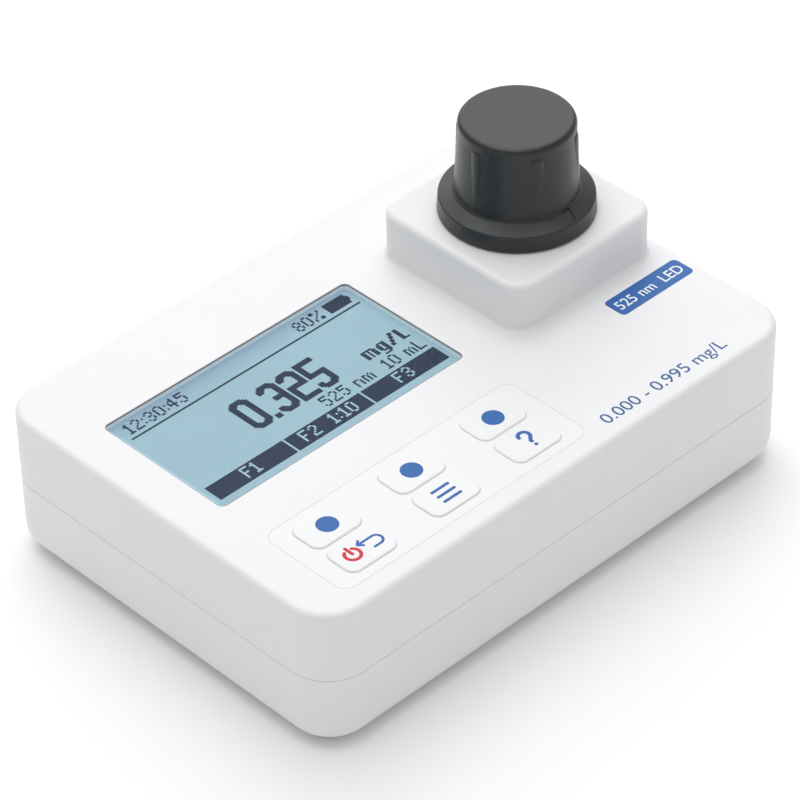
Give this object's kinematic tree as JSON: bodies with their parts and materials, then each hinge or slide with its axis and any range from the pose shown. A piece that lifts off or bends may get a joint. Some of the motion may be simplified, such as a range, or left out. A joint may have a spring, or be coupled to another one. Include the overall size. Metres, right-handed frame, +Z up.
{
  "type": "portable photometer",
  "caption": "Battery photometer with a display, a keypad, a lift-off light shield cap over a round cuvette well on a raised block, and a hinged battery door underneath.",
  "frame": {"origin": "centre of the base, on the surface that the feet stand on", "axes": "+X is the reading direction of the display, +Y points to the back, +Z is up"},
  "size_m": [0.1424, 0.1024, 0.0743],
  "materials": {
    "shell_white": "fine satin moulding",
    "panel_white": "satin film",
    "key_white": "satin, softly rounded",
    "cap_black": "fine satin moulding",
    "holder_black": "dull, for little stray light",
    "window": "clear, hard coated",
    "lcd": "grey-blue liquid crystal glass with dark dots",
    "diffuser": "milky",
    "frame_plastic": "plain moulding",
    "ribbon": "amber film",
    "silicone": "soft, dull",
    "board": "lacquered laminate",
    "chip": "dull epoxy",
    "lens_glass": "polished",
    "filter_glass": "polished, coated",
    "detector_can": "plated",
    "steel": "zinc plated",
    "nickel": "nickel plated",
    "cell_jacket": "lacquered jacket, bare ends",
    "gasket_rubber": "soft, dull",
    "foot_rubber": "soft, dull",
    "felt": "pressed felt"
  },
  "bodies": {
    "housing": {"top_shell": "shell_white", "bottom_shell": "shell_white", "housing_gasket": "gasket_rubber", "case_screws": "steel", "rubber_feet": "foot_rubber", "display_window": "window", "lcd_glass": "lcd", "lcd_backlight": "diffuser", "lcd_frame": "frame_plastic", "lcd_ribbon": "ribbon", "ribbon_socket": "frame_plastic", "keypad_panel": "panel_white", "keypad_mat": "silicone", "dome_soft_left": "silicone", "dome_soft_middle": "silicone", "dome_soft_right": "silicone", "dome_power": "silicone", "dome_menu": "silicone", "dome_help": "silicone", "main_board": "board", "board_screws": "steel", "processor_chip": "chip", "beeper": "chip", "cuvette_holder": "holder_black", "holder_screws": "steel", "lamp_board": "board", "lamp_led": "lens_glass", "lamp_lens": "lens_glass", "beam_splitter": "lens_glass", "reference_detector": "detector_can", "colour_filter": "filter_glass", "sample_detector": "detector_can", "detector_board": "board", "sensor_screws": "steel", "battery_cells": "cell_jacket", "battery_plates": "nickel", "battery_springs": "nickel"},
    "seal_ring": {"light_seal_ring": "felt"},
    "cap": {"shield_cap": "cap_black"},
    "door": {"battery_door": "shell_white", "door_gasket": "gasket_rubber"},
    "key_soft_left_body": {"key_soft_left": "key_white"},
    "key_soft_middle_body": {"key_soft_middle": "key_white"},
    "key_soft_right_body": {"key_soft_right": "key_white"},
    "key_power_body": {"key_power": "key_white"},
    "key_menu_body": {"key_menu": "key_white"},
    "key_help_body": {"key_help": "key_white"}
  },
  "joints": [
    {"name": "cap_turn", "type": "hinge", "parent": "housing", "child": "seal_ring", "pos_m": [0.046, 0.0096, 0.0505], "axis": [0, 0, 1], "continuous": true},
    {"name": "cap_lift", "type": "slide", "parent": "seal_ring", "child": "cap", "axis": [0, 0, 1], "range_m": [0, 0.1]},
    {"name": "door_swing", "type": "hinge", "parent": "housing", "child": "door", "pos_m": [-0.03, -0.03015, 0.0032], "axis": [-1, 0, 0], "range_deg": [0, 90]},
    {"name": "press_soft_left", "type": "slide", "parent": "housing", "child": "key_soft_left_body", "axis": [0, 0, -1], "range_m": [0, 0.0005], "stiffness_N_per_m": 1500, "springref_m": -0.0002, "deforming": ["dome_soft_left"]},
    {"name": "press_soft_middle", "type": "slide", "parent": "housing", "child": "key_soft_middle_body", "axis": [0, 0, -1], "range_m": [0, 0.0005], "stiffness_N_per_m": 1500, "springref_m": -0.0002, "deforming": ["dome_soft_middle"]},
    {"name": "press_soft_right", "type": "slide", "parent": "housing", "child": "key_soft_right_body", "axis": [0, 0, -1], "range_m": [0, 0.0005], "stiffness_N_per_m": 1500, "springref_m": -0.0002, "deforming": ["dome_soft_right"]},
    {"name": "press_power", "type": "slide", "parent": "housing", "child": "key_power_body", "axis": [0, 0, -1], "range_m": [0, 0.0005], "stiffness_N_per_m": 1500, "springref_m": -0.0002, "deforming": ["dome_power"]},
    {"name": "press_menu", "type": "slide", "parent": "housing", "child": "key_menu_body", "axis": [0, 0, -1], "range_m": [0, 0.0005], "stiffness_N_per_m": 1500, "springref_m": -0.0002, "deforming": ["dome_menu"]},
    {"name": "press_help", "type": "slide", "parent": "housing", "child": "key_help_body", "axis": [0, 0, -1], "range_m": [0, 0.0005], "stiffness_N_per_m": 1500, "springref_m": -0.0002, "deforming": ["dome_help"]}
  ]
}
